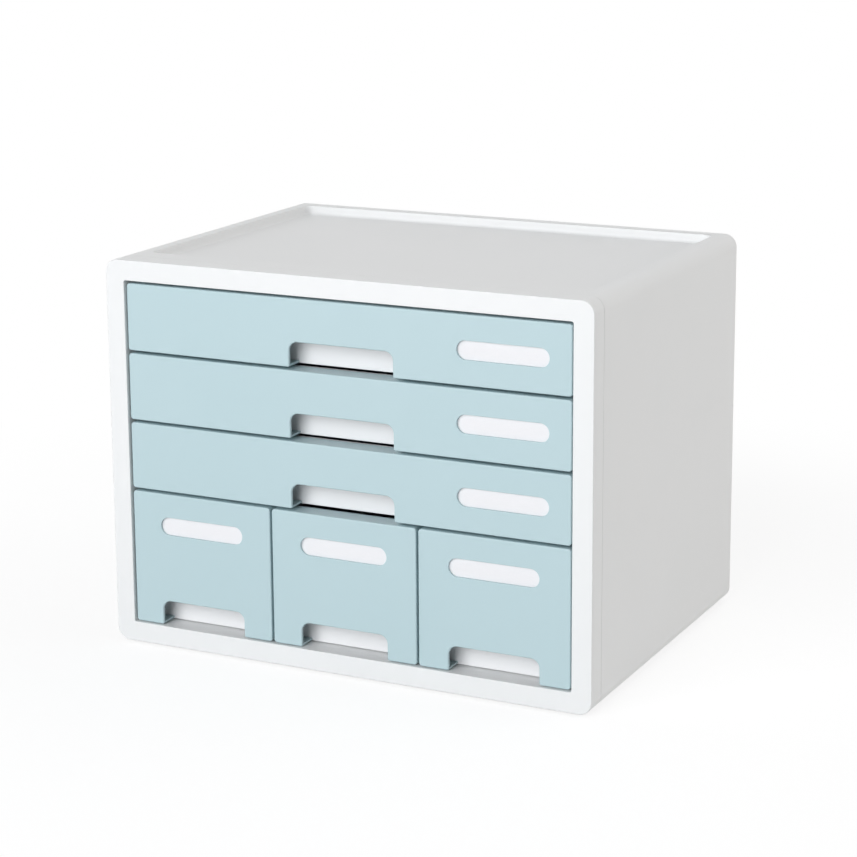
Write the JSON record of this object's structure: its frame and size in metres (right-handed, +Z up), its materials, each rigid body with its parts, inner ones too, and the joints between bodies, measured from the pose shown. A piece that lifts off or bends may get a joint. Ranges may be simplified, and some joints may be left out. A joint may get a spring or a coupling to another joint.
{
  "type": "desktop drawer cabinet",
  "caption": "Box-shaped desktop cabinet of white plastic with wide drawers over a row of small ones, finger cut-outs, label windows and a tray in its top.",
  "frame": {"origin": "under the middle of the cabinet, on the plane that its feet stand on", "axes": "+X across the front to the right, +Y from the front to the back, +Z up"},
  "size_m": [0.355, 0.262, 0.2695],
  "materials": {
    "case_plastic": "satin",
    "tray_plastic": "satin",
    "front_plastic": "satin",
    "label_card": "matte",
    "foot_rubber": "matte"
  },
  "bodies": {
    "case": {"case_shell": "case_plastic", "front_frame": "case_plastic", "back_panel": "case_plastic", "left_runner": "case_plastic", "right_runner": "case_plastic", "mid_shelf": "case_plastic", "floor_panel": "case_plastic", "left_divider": "case_plastic", "right_divider": "case_plastic", "front_left_foot": "foot_rubber", "front_right_foot": "foot_rubber", "rear_left_foot": "foot_rubber", "rear_right_foot": "foot_rubber"},
    "top_drawer": {"top_drawer_tray": "tray_plastic", "top_drawer_front": "front_plastic", "top_drawer_card": "label_card"},
    "middle_drawer": {"middle_drawer_tray": "tray_plastic", "middle_drawer_front": "front_plastic", "middle_drawer_card": "label_card"},
    "lower_drawer": {"lower_drawer_tray": "tray_plastic", "lower_drawer_front": "front_plastic", "lower_drawer_card": "label_card"},
    "left_small_drawer": {"left_small_drawer_tray": "tray_plastic", "left_small_drawer_front": "front_plastic", "left_small_drawer_card": "label_card"},
    "centre_small_drawer": {"centre_small_drawer_tray": "tray_plastic", "centre_small_drawer_front": "front_plastic", "centre_small_drawer_card": "label_card"},
    "right_small_drawer": {"right_small_drawer_tray": "tray_plastic", "right_small_drawer_front": "front_plastic", "right_small_drawer_card": "label_card"}
  },
  "joints": [
    {"name": "top_drawer_slide", "type": "slide", "parent": "case", "child": "top_drawer", "axis": [0, -1, 0], "range_m": [0, 0.19]},
    {"name": "middle_drawer_slide", "type": "slide", "parent": "case", "child": "middle_drawer", "axis": [0, -1, 0], "range_m": [0, 0.19]},
    {"name": "lower_drawer_slide", "type": "slide", "parent": "case", "child": "lower_drawer", "axis": [0, -1, 0], "range_m": [0, 0.19]},
    {"name": "left_small_drawer_slide", "type": "slide", "parent": "case", "child": "left_small_drawer", "axis": [0, -1, 0], "range_m": [0, 0.1893]},
    {"name": "centre_small_drawer_slide", "type": "slide", "parent": "case", "child": "centre_small_drawer", "axis": [0, -1, 0], "range_m": [0, 0.1893]},
    {"name": "right_small_drawer_slide", "type": "slide", "parent": "case", "child": "right_small_drawer", "axis": [0, -1, 0], "range_m": [0, 0.1893]}
  ]
}
